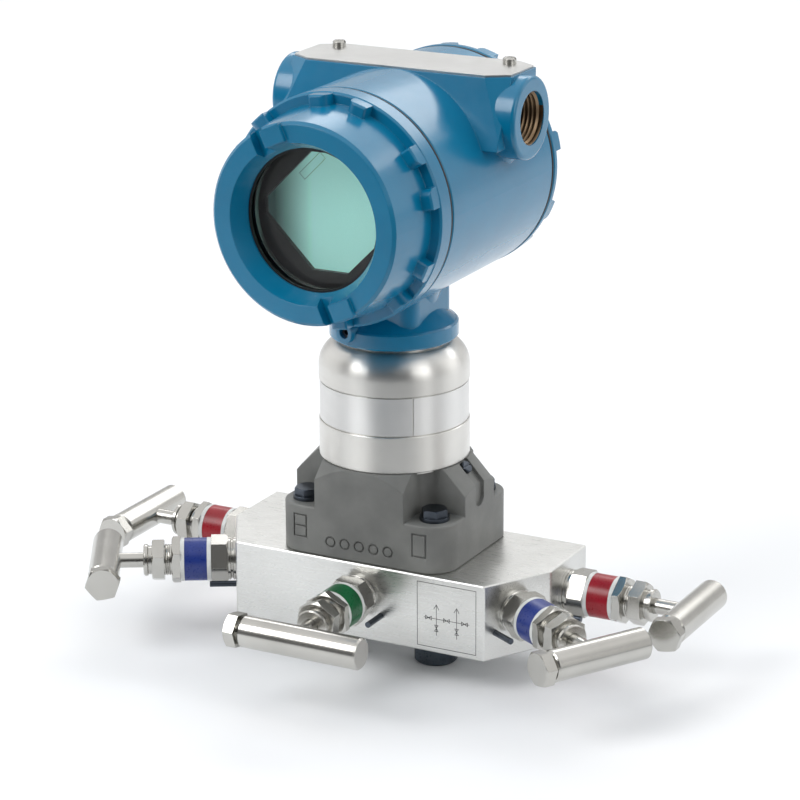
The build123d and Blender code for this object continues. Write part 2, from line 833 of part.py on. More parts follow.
def make_rear_cover():
    """Blind cover of the terminal side, with the same rim, lugs and skirt."""
    rim_back = barrel_rear + cover_seam
    rim_end = rim_back + rear_rim_width
    cap = rim_end + rear_cap_height
    skirt_outer = cover_thread_radius - running_clearance
    skirt_inner = skirt_outer - cover_skirt_wall
    profile = [
        (0, cap),
        (rear_cap_radius - 2.0, cap),
        (rear_cap_radius, cap - 2.0),
        (cover_barrel_radius, rim_end),
        (cover_rim_radius - 0.8, rim_end),
        (cover_rim_radius, rim_end - 0.8),
        (cover_rim_radius, rim_back + 0.5),
        (cover_rim_radius - 0.5, rim_back),
        (skirt_outer, rim_back),
        (skirt_outer, rim_back - cover_skirt_length),
        (skirt_inner, rim_back - cover_skirt_length),
        (skirt_inner, cap - rear_cap_wall - 1.0),
        (skirt_inner - 1.0, cap - rear_cap_wall),
        (0, cap - rear_cap_wall),
    ]
    cover = turned(profile)
    for lug in lug_ring(rim_end - 0.5, rim_end + lug_length - 0.8, rear_cap_radius, -1):
        cover += lug
    keep("rear_cover", y_axis * cover)


def make_cover_seals():
    """Round rubber rings between the covers' rims and the barrel's ends."""
    for name, low in (("front_cover_seal", -barrel_front - cover_seam), ("rear_cover_seal", barrel_rear)):
        middle = low + cover_seam / 2.0
        inner = cover_thread_radius + 0.4
        ring = disc(seal_radius, middle - seal_section / 2.0, middle + seal_section / 2.0)
        ring = chamfer(ring.edges().filter_by(GeomType.CIRCLE), 0.3)
        ring -= disc(inner, middle - seal_section, middle + seal_section)
        keep(name, y_axis * ring)


def panel_outline(margin=0.0):
    """The display panel's eight-sided outline, grown by a margin."""
    half_x = panel_half_width + margin
    half_z = panel_half_height + margin
    reach = panel_corner_reach + margin * sqrt(2.0)
    points = []
    for sx, sy, first in ((1, 1, True), (-1, 1, False), (-1, -1, True), (1, -1, False)):
        corner = [(sx * half_x, sy * (reach - half_x)), (sx * (reach - half_z), sy * half_z)]
        points.extend(corner if first else corner[::-1])
    return make_face(Polyline(*points, close=True))


def make_display():
    """Display bezel, panel and electronics board on their standoffs."""
    front = -bezel_front
    back = front + bezel_depth
    bezel = disc(bezel_radius, front, back)
    bezel = chamfer(bezel.edges().group_by(Axis.Z)[0], 1.5)
    bezel -= Pos(0, 0, front - 1.0) * extrude(panel_outline(), panel_recess + 1.0)
    panel_low = front + panel_recess
    pocket = Pos(0, 0, panel_low) * extrude(panel_outline(panel_overlap + thread_clearance), panel_thickness)
    bezel -= pocket
    bezel -= disc(bezel_radius - 6.0, panel_low + panel_thickness + 1.5, back + 1.0)
    keep("display_bezel", y_axis * bezel)
    panel = Pos(0, 0, panel_low) * extrude(panel_outline(panel_overlap), panel_thickness)
    keep("display_panel", y_axis * panel)
    board_low = back
    board = disc(board_radius, board_low, board_low + board_thickness)
    for angle in (45, 135, 225, 315):
        x = 29.0 * cos(radians(angle))
        y = 29.0 * sin(radians(angle))
        board += disc(standoff_radius, board_low + board_thickness - 0.5, -divider_front, x, y)
    for x, y, w, h, tall in ((-10, 6, 12, 12, 3), (10, -8, 8, 14, 4), (-12, -14, 9, 6, 5), (8, 14, 14, 6, 3)):
        low = board_low + board_thickness - 0.5
        board += block_between((x - w / 2.0, y - h / 2.0, low), (x + w / 2.0, y + h / 2.0, low + tall))
    keep("electronics_board", y_axis * board)


def make_terminals():
    """Moulded terminal block with two posts and two test points, and its screws."""
    low = divider_rear
    high = low + terminal_thickness
    block = disc(terminal_radius, low, high)
    block -= block_between(
        (-terminal_radius, -terminal_radius - 1.0, low - 1.0), (terminal_radius, -terminal_top, high + 1.0)
    )
    block = chamfer(block.edges().group_by(Axis.Z)[-1], 1.5)
    posts = [(-terminal_post_spacing, 4.0), (0.0, 4.0), (terminal_post_spacing, 4.0)]
    screws = []
    for x, z in posts:
        block -= disc(terminal_screw_radius + 1.6, high - terminal_recess, high + 1.0, x, z)
        block -= disc(terminal_thread_radius, high - terminal_recess - 6.0, high, x, z)
        shank = disc(
            terminal_thread_radius - thread_clearance, high - terminal_recess - 5.5, high - terminal_recess, x, z
        )
        head = disc(terminal_screw_radius, high - terminal_recess, high - terminal_recess + terminal_screw_head, x, z)
        slot = block_between(
            (x - terminal_screw_radius, z - slot_width / 2.0, high - terminal_recess + terminal_screw_head - 1.0),
            (x + terminal_screw_radius, z + slot_width / 2.0, high),
        )
        screws.append(shank + head - slot)
    keep("terminal_block", y_axis * block)
    keep("terminal_screws", *[y_axis * screw for screw in screws])


def make_nameplate():
    """Thin metal plate with cut corners on the saddle, and its two screws."""
    top = housing_axis + saddle_top
    plate = Pos(0, 0, top) * extrude(saddle_outline(plate_margin), plate_thickness)
    screws = []
    for side in (-1, 1):
        x = side * plate_screw_spacing / 2.0
        plate -= disc(plate_screw_radius + 0.2, top - 1.0, top + 2.0, x, plate_screw_offset)
        head_low = top + plate_thickness
        head = disc(plate_screw_head_radius, head_low, head_low + plate_screw_head_height, x, plate_screw_offset)
        head = chamfer(head.edges().group_by(Axis.Z)[-1], 0.5)
        shank = disc(
            plate_screw_radius - thread_clearance, top - plate_screw_length + 0.5, head_low + 0.5, x, plate_screw_offset
        )
        slot = block_between(
            (x - 4.0, plate_screw_offset - slot_width / 2.0, head_low + plate_screw_head_height - 1.0),
            (x + 4.0, plate_screw_offset + slot_width / 2.0, head_low + plate_screw_head_height + 1.0),
        )
        screws.append(head + shank - slot)
    keep("nameplate", plate)
    keep("nameplate_screws", *screws)


def make_bonnet():
    """Hollow valve bonnet: tail, collar, hex, band seat and threaded neck."""
    gland_top = gland_start + gland_nut_length - 0.3
    seat_radius_band = band_radius - band_wall - thread_clearance
    profile = [
        (0, -socket_depth),
        (tail_radius - 0.8, -socket_depth),
        (tail_radius, 0.8 - socket_depth),
        (tail_radius, 0),
        (bonnet_collar_radius, 0),
        (bonnet_collar_radius, 1.2),
        (bonnet_collar_radius - bonnet_groove, 1.5),
        (bonnet_collar_radius - bonnet_groove, 2.1),
        (bonnet_collar_radius, 2.4),
        (bonnet_collar_radius, collar_length + 0.5),
        (seat_radius_band, collar_length + 0.5),
        (seat_radius_band, lock_nut_start),
        (bonnet_thread_radius, lock_nut_start),
        (bonnet_thread_radius, gland_start - 1.0),
        (gland_thread_radius, gland_start - 0.6),
        (gland_thread_radius, gland_top),
        (0, gland_top),
    ]
    bonnet = turned(profile)
    hex_part = Pos(0, 0, band_start) * Rot(180, 0, 0) * hex_prism(bonnet_hex_flats, 0, bonnet_hex_length, 4.0)
    bonnet += hex_part & turned(
        [(0, 0), (20, 0), (20, band_start - 0.5), (bonnet_hex_flats / 2.0, band_start), (0, band_start)]
    )
    bonnet -= disc(stem_radius + stem_clearance, -socket_depth, gland_top + 1.0)
    bonnet -= disc(tip_chamber_radius, -socket_depth - 1.0, -socket_depth + tip_length + valve_travel + 1.5)
    bonnet -= disc(packing_radius, gland_top - packing_length - 0.5, gland_top + 1.0)
    return bonnet


def make_gland_nut():
    """Packing nut: a hex cap with a grooved collar round the stem."""
    low = gland_start
    high = gland_start + gland_nut_length
    nut = hex_prism(gland_nut_flats, low, high, 25.0)
    collar = turned(
        [
            (0, high - 0.5),
            (gland_collar_radius - 0.7, high - 0.5),
            (gland_collar_radius - 0.7, high + 1.5),
            (gland_collar_radius, high + 1.8),
            (gland_collar_radius, gland_end - 0.5),
            (gland_collar_radius - 0.5, gland_end),
            (0, gland_end),
        ]
    )
    nut += collar
    nut -= disc(gland_thread_radius + thread_clearance, low - 1.0, high - 0.2)
    nut -= disc(stem_radius + stem_clearance, low, gland_end + 1.0)
    return nut


def make_handle(bolt_end, far_end, bolt_side):
    """T-bar handle with its clamping bolt, and the stem that carries it."""
    stem_low = -socket_depth + tip_length
    stem = disc(stem_radius, stem_low, handle_reach + stem_end_gap)
    stem = chamfer(stem.edges().filter_by(GeomType.CIRCLE), 0.4)
    along = Pos(0, 0, handle_reach) * Rot(0, 90 * bolt_side, 0)
    bar = along * disc(handle_radius, -far_end, bolt_end)
    bar = chamfer(bar.edges().filter_by(GeomType.CIRCLE), 0.7)
    bar -= disc(stem_radius + running_clearance, handle_reach - 2 * handle_radius, handle_reach + stem_end_gap + 0.1)
    bar -= along * disc(handle_bolt_radius, 0, bolt_end + 1.0)
    start = stem_radius + running_clearance
    head_low = bolt_end + handle_bolt_neck
    bolt = disc(handle_bolt_radius - thread_clearance, start, head_low + 0.5)
    bolt += disc(handle_bolt_collar_radius, bolt_end, head_low)
    bolt += hex_prism(handle_bolt_flats, head_low, head_low + handle_bolt_head, 10.0)
    return stem, bar, along * bolt


def make_valves():
    """All five valves in their places, named by what they do."""
    bands = {"isolate_bands": [], "vent_bands": [], "equalize_band": []}
    lock_nuts = []
    gland_nuts = []
    pins = []
    packings = []
    bonnet = make_bonnet()
    gland = make_gland_nut()
    lock = hex_prism(lock_nut_flats, lock_nut_start, lock_nut_start + lock_nut_length, 32.0)
    lock -= disc(bonnet_thread_radius + thread_clearance, lock_nut_start - 1.0, gland_start)
    band = disc(band_radius, band_start, lock_nut_start) - disc(
        band_radius - band_wall, band_start - 1.0, lock_nut_start + 1.0
    )
    gland_top = gland_start + gland_nut_length - 0.3
    packing = disc(packing_radius - thread_clearance, gland_top - packing_length - 0.5, gland_top - 0.5) - disc(
        stem_radius + running_clearance, 0, gland_top
    )
    for name, point, angle, pin_side, bolt_side in valve_places():
        frame = valve_frame(point, angle)
        is_centre = name == "equalize"
        bolt_end = equalize_bolt_end if is_centre else handle_bolt_end
        far_end = equalize_far_end if is_centre else handle_far_end
        keep(f"{name}_bonnet", frame * bonnet)
        kind = next(key for key in bands if key.startswith(name.split("_")[0]))
        bands[kind].append(frame * band)
        lock_nuts.append(frame * lock)
        gland_nuts.append(frame * gland)
        packings.append(frame * packing)
        pin = disc(pin_radius - thread_clearance / 2.0, -pin_depth, pin_reach, pin_side * pin_side_step, -pin_drop)
        pins.append(frame * pin)
        stem, bar, bolt = make_handle(bolt_end, far_end, bolt_side)
        tip_low = -socket_depth
        tip = turned(
            [
                (0, tip_low),
                (1.5, tip_low),
                (tip_radius, tip_low + 3.0),
                (tip_radius, tip_low + tip_length),
                (0, tip_low + tip_length),
            ]
        )
        keep(f"{name}_stem", frame * stem)
        keep(f"{name}_stem_tip", frame * tip)
        keep(f"{name}_handle", frame * bar)
        keep(f"{name}_handle_bolt", frame * bolt)
    for kind, rings in bands.items():
        keep(kind, *rings)
    keep("bonnet_lock_nuts", *lock_nuts)
    keep("gland_nuts", *gland_nuts)
    keep("lock_pins", *pins)
    keep("stem_packings", *packings)


make_manifold_block()
make_process_plugs()
make_module_base()
make_base_side_screw()
make_base_bolts()
make_diaphragms_and_seals()
make_sensor_can()
make_module_neck()
make_housing_body()
make_set_screw()
make_front_cover()
make_rear_cover()
make_cover_seals()
make_display()
make_terminals()
make_nameplate()
make_valves()

os.makedirs("parts", exist_ok=True)
for node, shape in saved.items():
    export_step(shape, f"parts/{node}.step")
    print(node, len(shape.solids()), round(shape.volume, 1))
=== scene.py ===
"""Dresses a pressure transmitter on its five-valve manifold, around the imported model."""
import json
import logging
from dataclasses import dataclass, field
from enum import Enum
from math import cos, pi, radians, sin, tau
from typing import Optional, Sequence

import bmesh
import bpy
from mathutils import Matrix, Vector


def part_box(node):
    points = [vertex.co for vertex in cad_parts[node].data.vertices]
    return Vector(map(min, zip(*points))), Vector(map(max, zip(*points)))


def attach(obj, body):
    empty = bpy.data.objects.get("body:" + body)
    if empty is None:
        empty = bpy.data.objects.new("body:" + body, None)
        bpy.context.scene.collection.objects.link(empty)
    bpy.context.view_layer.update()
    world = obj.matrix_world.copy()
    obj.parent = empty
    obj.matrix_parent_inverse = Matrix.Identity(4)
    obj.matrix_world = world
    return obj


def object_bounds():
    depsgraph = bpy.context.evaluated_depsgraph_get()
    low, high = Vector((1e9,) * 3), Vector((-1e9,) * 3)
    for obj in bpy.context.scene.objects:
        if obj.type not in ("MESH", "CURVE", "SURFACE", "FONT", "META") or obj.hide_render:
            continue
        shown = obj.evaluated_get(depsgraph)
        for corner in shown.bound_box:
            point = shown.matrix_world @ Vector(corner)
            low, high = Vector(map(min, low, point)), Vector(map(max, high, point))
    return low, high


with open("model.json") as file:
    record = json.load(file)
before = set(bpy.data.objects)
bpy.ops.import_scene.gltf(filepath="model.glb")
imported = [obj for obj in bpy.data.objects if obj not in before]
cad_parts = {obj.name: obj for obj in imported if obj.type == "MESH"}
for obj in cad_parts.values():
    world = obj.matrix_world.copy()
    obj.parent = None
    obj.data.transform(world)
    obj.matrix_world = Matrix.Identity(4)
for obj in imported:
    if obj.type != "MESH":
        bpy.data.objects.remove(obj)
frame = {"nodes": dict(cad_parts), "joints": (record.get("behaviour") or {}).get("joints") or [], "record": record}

CAD_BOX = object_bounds()
MM = 0.001
LOG = logging.getLogger("transmitter")

Point = tuple[float, float, float]
Spot = tuple[float, float]
Colour = tuple[float, float, float]
Socket = bpy.types.NodeSocket

# Degrees from the object's front to the photograph's camera
PHOTO_AZIMUTH = 27.85

# Values between which most of a noise lies
NOISE_LOW, NOISE_HIGH = 0.3, 0.7

# Rays that find a softened edge, and the quarter turn that lays gloss across turning marks
EDGE_SAMPLES = 4
QUARTER_TURN = 0.25

# Angles in degrees under which an edge is smooth
SMOOTH_TURNED, SMOOTH_THREAD, SMOOTH_DRAWN = 35.0, 40.0, 10.0

# Shares of the pitch where a thread's crest begins and ends, and turns in which it grows to full height
CREST_START, CREST_END = 0.42, 0.58
RUN_OUT_TURNS = 0.5

# Millimetres by which a drawn line reaches behind its face
LINE_SUNK = 0.05

# Places of the colour sockets on a Mix node
MIX_LOW, MIX_HIGH, MIX_RESULT = 6, 7, 2


def srgb(red: int, green: int, blue: int) -> Colour:
    """Returns a linear colour from screen values of 0 to 255."""
    return tuple(((v / 255 + 0.055) / 1.055) ** 2.4 if v > 10 else v / 3294.6 for v in (red, green, blue))


def grey(value: float) -> tuple[float, float, float, float]:
    """Returns an opaque grey."""
    return (value, value, value, 1.0)


class Grain(Enum):
    """Ways in which a metal surface was worked."""

    BLASTED = "blasted"
    TURNED_ROUND_Z = "turned round z"
    BRUSHED_ALONG_X = "brushed along x"
    POLISHED = "polished"


class Shader:
    """Short ways to add and join the nodes of one material."""

    def __init__(self, name: str) -> None:
        """Starts an empty material with a Principled shader.

        Args:
            name: the finish's plain name.
        """
        self.material = bpy.data.materials.new(name)
        self.material.use_nodes = True
        self.tree = self.material.node_tree
        self.tree.nodes.clear()
        output = self.tree.nodes.new("ShaderNodeOutputMaterial")
        self.surface = self.tree.nodes.new("ShaderNodeBsdfPrincipled")
        self.join(self.surface.outputs["BSDF"], output.inputs["Surface"])
        self.place = self.tree.nodes.new("ShaderNodeTexCoord").outputs["Object"]

    def join(self, source: Socket, target: Socket) -> None:
        """Links two sockets."""
        self.tree.links.new(source, target)

    def set(self, **values: object) -> None:
        """Sets constants on the Principled shader's own sockets.

        Args:
            values: socket names with underscores for blanks, and their values.
        """
        for name, value in values.items():
            self.surface.inputs[name.replace("_", " ")].default_value = value

    def scaled(self, scale: Point) -> Socket:
        """Returns the object's coordinates, stretched.

        Args:
            scale: factors along X, Y and Z.

        Returns:
            The socket of the stretched coordinates.
        """
        mapping = self.tree.nodes.new("ShaderNodeMapping")
        mapping.inputs["Scale"].default_value = scale
        self.join(self.place, mapping.inputs["Vector"])
        return mapping.outputs["Vector"]

    def noise(self, where: Socket, scale: float, detail: float = 2.0) -> Socket:
        """Returns a noise value.

        Args:
            where: coordinates in metres.
            scale: features per metre.
            detail: octaves of the noise.

        Returns:
            The noise's value socket.
        """
        node = self.tree.nodes.new("ShaderNodeTexNoise")
        node.inputs["Scale"].default_value = scale
        node.inputs["Detail"].default_value = detail
        self.join(where, node.inputs["Vector"])
        return node.outputs["Fac"]

    def spread(self, value: Socket, start: Spot, end: Spot) -> Socket:
        """Returns a value moved from one span to another, and held at its ends.

        Args:
            value: the value socket.
            start: low and high end of the value as it comes.
            end: low and high end of the result.

        Returns:
            The socket of the spread value.
        """
        node = self.tree.nodes.new("ShaderNodeMapRange")
        for name, number in zip(("From Min", "From Max", "To Min", "To Max"), (*start, *end)):
            node.inputs[name].default_value = number
        self.join(value, node.inputs["Value"])
        return node.outputs["Result"]

    def graded(self, axis: str, start: float, end: float, turn: float = 0.0) -> Socket:
        """Returns a value that climbs from the low to the high end of a noise along an axis of the object.

        Args:
            axis: X, Y or Z.
            start: place of the low end, in metres.
            end: place of the high end.
            turn: degrees by which the axes are turned about Z.

        Returns:
            The value's socket.
        """
        mapping = self.tree.nodes.new("ShaderNodeMapping")
        mapping.inputs["Rotation"].default_value = (0.0, 0.0, -radians(turn))
        split = self.tree.nodes.new("ShaderNodeSeparateXYZ")
        self.join(self.place, mapping.inputs["Vector"])
        self.join(mapping.outputs["Vector"], split.inputs["Vector"])
        return self.spread(split.outputs[axis], (start, end), (NOISE_LOW, NOISE_HIGH))

    def gloss(self, value: Socket, smooth: float, rough: float) -> None:
        """Drives the roughness by a noise.

        Args:
            value: the noise's value socket.
            smooth: roughness where the noise is low.
            rough: roughness where the noise is high.
        """
        spread = self.spread(value, (NOISE_LOW, NOISE_HIGH), (smooth, rough))
        self.join(spread, self.surface.inputs["Roughness"])

    def colour(self, value: Socket, low: Colour, high: Colour) -> Socket:
        """Drives the base colour by a noise.

        Args:
            value: the noise's value socket.
            low: colour where the noise is low.
            high: colour where the noise is high.

        Returns:
            The colour socket.
        """
        node = self.tree.nodes.new("ShaderNodeValToRGB")
        ends = node.color_ramp.elements
        ends[0].position, ends[1].position = NOISE_LOW, NOISE_HIGH
        ends[0].color, ends[1].color = (*low, 1.0), (*high, 1.0)
        self.join(value, node.inputs["Fac"])
        self.join(node.outputs["Color"], self.surface.inputs["Base Color"])
        return node.outputs["Color"]

    def bump(self, height: Optional[Socket], depth: float, edge: float) -> None:
        """Softens the edges and joins a height to the surface's normal.

        Args:
            height: value socket of the height, or None for a plain surface.
            depth: the height's depth in metres.
            edge: radius in metres of the softened edges.
        """
        rounder = self.tree.nodes.new("ShaderNodeBevel")
        rounder.samples = EDGE_SAMPLES
        rounder.inputs["Radius"].default_value = edge
        normal = rounder.outputs["Normal"]
        if height is not None:
            node = self.tree.nodes.new("ShaderNodeBump")
            node.inputs["Strength"].default_value = 1.0
            node.inputs["Distance"].default_value = depth
            self.join(height, node.inputs["Height"])
            self.join(normal, node.inputs["Normal"])
            normal = node.outputs["Normal"]
        self.join(normal, self.surface.inputs["Normal"])


@dataclass(frozen=True)
class Paint:
    """Sprayed paint over a casting."""

    name: str
    light: Colour
    dark: Colour
    roughness: float = 0.3
    grain: float = 900.0
    grain_depth: float = 0.00002
    coat: float = 0.0
    edge: float = 0.0005
    cloud: float = 60.0
    detail: float = 3.0
    uneven: Spot = (-0.02, 0.03)
    coat_roughness: float = 0.12

    def material(self) -> bpy.types.Material:
        """Returns the paint with its colour drift, sheen and, where it has a depth, its grain."""
        shader = Shader(self.name)
        shader.colour(shader.noise(shader.place, self.cloud, self.detail), self.dark, self.light)
        fine = shader.noise(shader.place, self.grain, self.detail)
        shader.gloss(fine, self.roughness + self.uneven[0], self.roughness + self.uneven[1])
        shader.set(Coat_Weight=self.coat, Coat_Roughness=self.coat_roughness)
        shader.bump(fine if self.grain_depth else None, self.grain_depth, self.edge)
        return shader.material


@dataclass(frozen=True)
class Metal:
    """Bare metal with the marks of how it was worked."""

    name: str
    light: Colour
    dark: Colour
    roughness: float
    grain: Grain
    depth: float = 0.000004
    edge: float = 0.0002
    cloud: float = 45.0
    detail: float = 3.0
    marks: float = 3500.0
    uneven: Spot = (-0.05, 0.05)
    anisotropy: float = 0.9

    def stretch(self) -> Point:
        """Returns how the marks are stretched along X, Y and Z."""
        stretched = {Grain.TURNED_ROUND_Z: (0.02, 0.02, 1.0), Grain.BRUSHED_ALONG_X: (0.03, 1.0, 1.0)}
        return stretched.get(self.grain, (1.0, 1.0, 1.0))

    def material(self) -> bpy.types.Material:
        """Returns the metal with its marks and uneven polish."""
        shader = Shader(self.name)
        shader.colour(shader.noise(shader.place, self.cloud, self.detail), self.dark, self.light)
        marks = shader.noise(shader.scaled(self.stretch()), self.marks)
        shader.gloss(marks, self.roughness + self.uneven[0], self.roughness + self.uneven[1])
        shader.set(Metallic=1.0)
        if self.grain is Grain.TURNED_ROUND_Z:
            tangent = shader.tree.nodes.new("ShaderNodeTangent")
            tangent.direction_type = "RADIAL"
            tangent.axis = "Z"
            shader.join(tangent.outputs["Tangent"], shader.surface.inputs["Tangent"])
            shader.set(Anisotropic=self.anisotropy, Anisotropic_Rotation=QUARTER_TURN)
        shader.bump(marks, self.depth, self.edge)
        return shader.material


@dataclass(frozen=True)
class Plastic:
    """Moulded plastic, rubber or laminate."""

    name: str
    light: Colour
    dark: Colour
    roughness: float = 0.35
    texture: float = 1400.0
    depth: float = 0.00001
    edge: float = 0.0002
    cloud: float = 120.0
    uneven: Spot = (-0.04, 0.05)

    def material(self) -> bpy.types.Material:
        """Returns the plastic with its faint clouding and fine texture."""
        shader = Shader(self.name)
        shader.colour(shader.noise(shader.place, self.cloud), self.dark, self.light)
        fine = shader.noise(shader.place, self.texture)
        shader.gloss(fine, self.roughness + self.uneven[0], self.roughness + self.uneven[1])
        shader.bump(fine, self.depth, self.edge)
        return shader.material


@dataclass(frozen=True)
class DisplayFace:
    """Reflecting display, darkened to the left by painted shade of its cover's recess, with a faint painted glow.
    """

    name: str
    light: Colour
    dark: Colour
    # painted shade: between these places, in millimetres from left to right, the teal climbs from its dark to its
    # light end, standing in for the shadow in the cover's recess
    left: float = -25.0
    right: float = -8.0
    # painted light: strength of a glow in the panel's own colour, though the display only reflects light
    glow: float = 0.34
    cloud: float = 120.0
    roughness: Spot = (0.2, 0.26)

    def material(self) -> bpy.types.Material:
        """Returns the display's teal, with a painted-shade gradient that darkens it to the left, uneven gloss and
        a faint painted glow.
        """
        shader = Shader(self.name)
        # painted shade and painted light: the colour darkens towards the left, and the same colour glows
        colour = shader.colour(shader.graded("X", self.left * MM, self.right * MM), self.dark, self.light)
        shader.join(colour, shader.surface.inputs["Emission Color"])
        shader.gloss(shader.noise(shader.place, self.cloud), *self.roughness)
        shader.set(Emission_Strength=self.glow)
        return shader.material


@dataclass(frozen=True)
class ClearGlass:
    """Flat toughened window glass."""

    name: str
    tint: Colour
    bending: float = 1.45
    smear: float = 90.0
    detail: float = 3.0
    roughness: Spot = (0.0, 0.03)

    def material(self) -> bpy.types.Material:
        """Returns glass that lets most light through, with faint smears in its gloss."""
        shader = Shader(self.name)
        shader.gloss(shader.noise(shader.place, self.smear, self.detail), *self.roughness)
        shader.set(Base_Color=(*self.tint, 1.0), Transmission_Weight=1.0, IOR=self.bending)
        return shader.material


@dataclass(frozen=True)
class PaperWithPaintedShade:
    """Matt paper whose tone changes once along one level direction, painted dark as shade on one side."""

    name: str
    light: Colour
    dark: Colour
    painted_shade_span: Spot
    turn: float
    roughness: float = 0.7

    def material(self) -> bpy.types.Material:
        """Returns the paper, painted dark as shade before the fade and light behind it."""
        shader = Shader(self.name)
        shader.colour(shader.graded("Y", *self.painted_shade_span, self.turn), self.dark, self.light)
        shader.set(Roughness=self.roughness)
        return shader.material


class Finishes:
    """Every finish of the object and its floor, made once."""

    def __init__(self) -> None:
        """Builds the materials."""
        turned, brushed, polished, blasted = (
            Grain.TURNED_ROUND_Z, Grain.BRUSHED_ALONG_X, Grain.POLISHED, Grain.BLASTED)
        listed = [
            Paint("blue_paint", srgb(0, 119, 160), srgb(0, 113, 153), roughness=0.24, grain=160.0,
                  grain_depth=0.0, coat=0.3),
            Paint("grey_paint", srgb(124, 125, 122), srgb(104, 105, 103), roughness=0.48, grain=1500.0,
                  grain_depth=0.00006, edge=0.0008),
            Metal("turned_steel", (0.74, 0.73, 0.70), (0.68, 0.67, 0.64), 0.34, turned),
            Metal("block_steel", (0.74, 0.74, 0.72), (0.67, 0.67, 0.65), 0.3, brushed, depth=0.00001),
            Metal("valve_steel", (0.56, 0.55, 0.52), (0.48, 0.47, 0.44), 0.22, polished, depth=0.000003),
            Metal("bolt_steel", (0.11, 0.125, 0.15), (0.06, 0.07, 0.085), 0.34, blasted, depth=0.00001),
            Metal("thread_bronze", (0.32, 0.22, 0.13), (0.20, 0.14, 0.09), 0.38, blasted, depth=0.00001),
            Metal("label_foil", (0.80, 0.80, 0.79), (0.75, 0.75, 0.74), 0.42, turned),
            Metal("plate_foil", (0.58, 0.58, 0.57), (0.52, 0.52, 0.51), 0.36, brushed),
            Metal("terminal_brass", (0.72, 0.53, 0.26), (0.62, 0.45, 0.20), 0.3, polished),
            Metal("ink_dark", (0.09, 0.09, 0.09), (0.05, 0.05, 0.05), 0.5, blasted),
            Plastic("plug_plastic", srgb(64, 76, 88), srgb(46, 56, 66), 0.3),
            Plastic("blue_sleeve", srgb(34, 56, 134), srgb(24, 44, 116), 0.3),
            Plastic("red_sleeve", srgb(160, 22, 38), srgb(140, 16, 30), 0.3),
            Plastic("green_sleeve", srgb(10, 100, 56), srgb(6, 84, 46), 0.3),
            Plastic("sleeve_edge", srgb(226, 228, 226), srgb(208, 210, 208), 0.35),
            Plastic("seal_rubber", srgb(24, 24, 25), srgb(16, 16, 17), 0.55),
            Plastic("seal_white", srgb(228, 228, 222), srgb(214, 214, 208), 0.4),
            Plastic("bezel_plastic", srgb(14, 17, 19), srgb(10, 13, 14), 0.42, texture=900.0, depth=0.000002),
            # display_panel: its dark end is painted shade at the left of the panel, and the panel carries a
            # painted glow
            DisplayFace("display_panel", srgb(176, 238, 228), srgb(48, 78, 76)),
            Plastic("panel_line", srgb(72, 104, 100), srgb(60, 92, 88), 0.3),
            Plastic("board_laminate", srgb(28, 96, 54), srgb(20, 80, 44), 0.3),
            ClearGlass("clear_glass", (0.98, 1.0, 0.995), bending=1.3),
            # painted shade: the floor darkens from 0.18 m to 0.45 m in front of the object, towards the camera,
            # standing in for the unlit room in front that the metal mirrors
            PaperWithPaintedShade("floor_paper_with_painted_shade", (0.91, 0.925, 0.945), (0.13, 0.135, 0.14), painted_shade_span=(-0.45, -0.18),
                        turn=PHOTO_AZIMUTH + 10.0),
        ]
        self.made = {finish.name: finish.material() for finish in listed}

    def dress(self, thing: bpy.types.Object, name: str) -> None:
        """Gives an object one finish.

        Args:
            thing: the object.
            name: the finish's name.
        """
        if not thing.material_slots:
            thing.data.materials.append(self.made[name])
        for slot in thing.material_slots:
            slot.material = self.made[name]


def add_piece(name: str, mesh: bpy.types.Mesh, body: str) -> bpy.types.Object:
    """Puts a mesh into the scene as a piece of the object.

    Args:
        name: the piece's name.
        mesh: its mesh, in the row frame.
        body: the body that it rides on.

    Returns:
        The new object.
    """
    thing = bpy.data.objects.new(name, mesh)
    bpy.context.scene.collection.objects.link(thing)
    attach(thing, body)
    return thing


def turn_joint(name: str) -> dict[str, object]:
    """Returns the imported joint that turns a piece, with its place pos_m and its axis."""
    return next(joint for joint in frame["joints"] if joint["name"] == f"{name}_turn")


def frame_of(origin: Point, along: Point) -> Matrix:
    """Returns a frame whose Z axis points along a direction.

    Args:
        origin: its origin, in metres.
        along: its Z direction.

    Returns:
        The frame's matrix.
    """
    turn = Vector(along).to_track_quat("Z", "Y").to_matrix().to_4x4()
    return Matrix.Translation(origin) @ turn


def round_point(place: Matrix, radius: float, angle: float, height: float) -> Vector:
    """Returns the point at a radius, angle and height in a frame, from millimetres."""
    return place @ Vector((radius * MM * cos(angle), radius * MM * sin(angle), height * MM))


def finish_mesh(name: str, shape: bmesh.types.BMesh, smooth_under: float) -> bpy.types.Mesh:
    """Makes a mesh of a bmesh, with its normals outwards and its round stretches smooth.

    Args:
        name: the mesh's name.
        shape: the bmesh, which is freed.
        smooth_under: angle in degrees under which an edge is smooth.

    Returns:
        The mesh.
    """
    bmesh.ops.recalc_face_normals(shape, faces=shape.faces)
    for face in shape.faces:
        face.smooth = True
    for edge in shape.edges:
        if len(edge.link_faces) == 2 and edge.calc_face_angle(0.0) > radians(smooth_under):
            edge.smooth = False
    mesh = bpy.data.meshes.new(name)
    shape.to_mesh(mesh)
    shape.free()
    return mesh


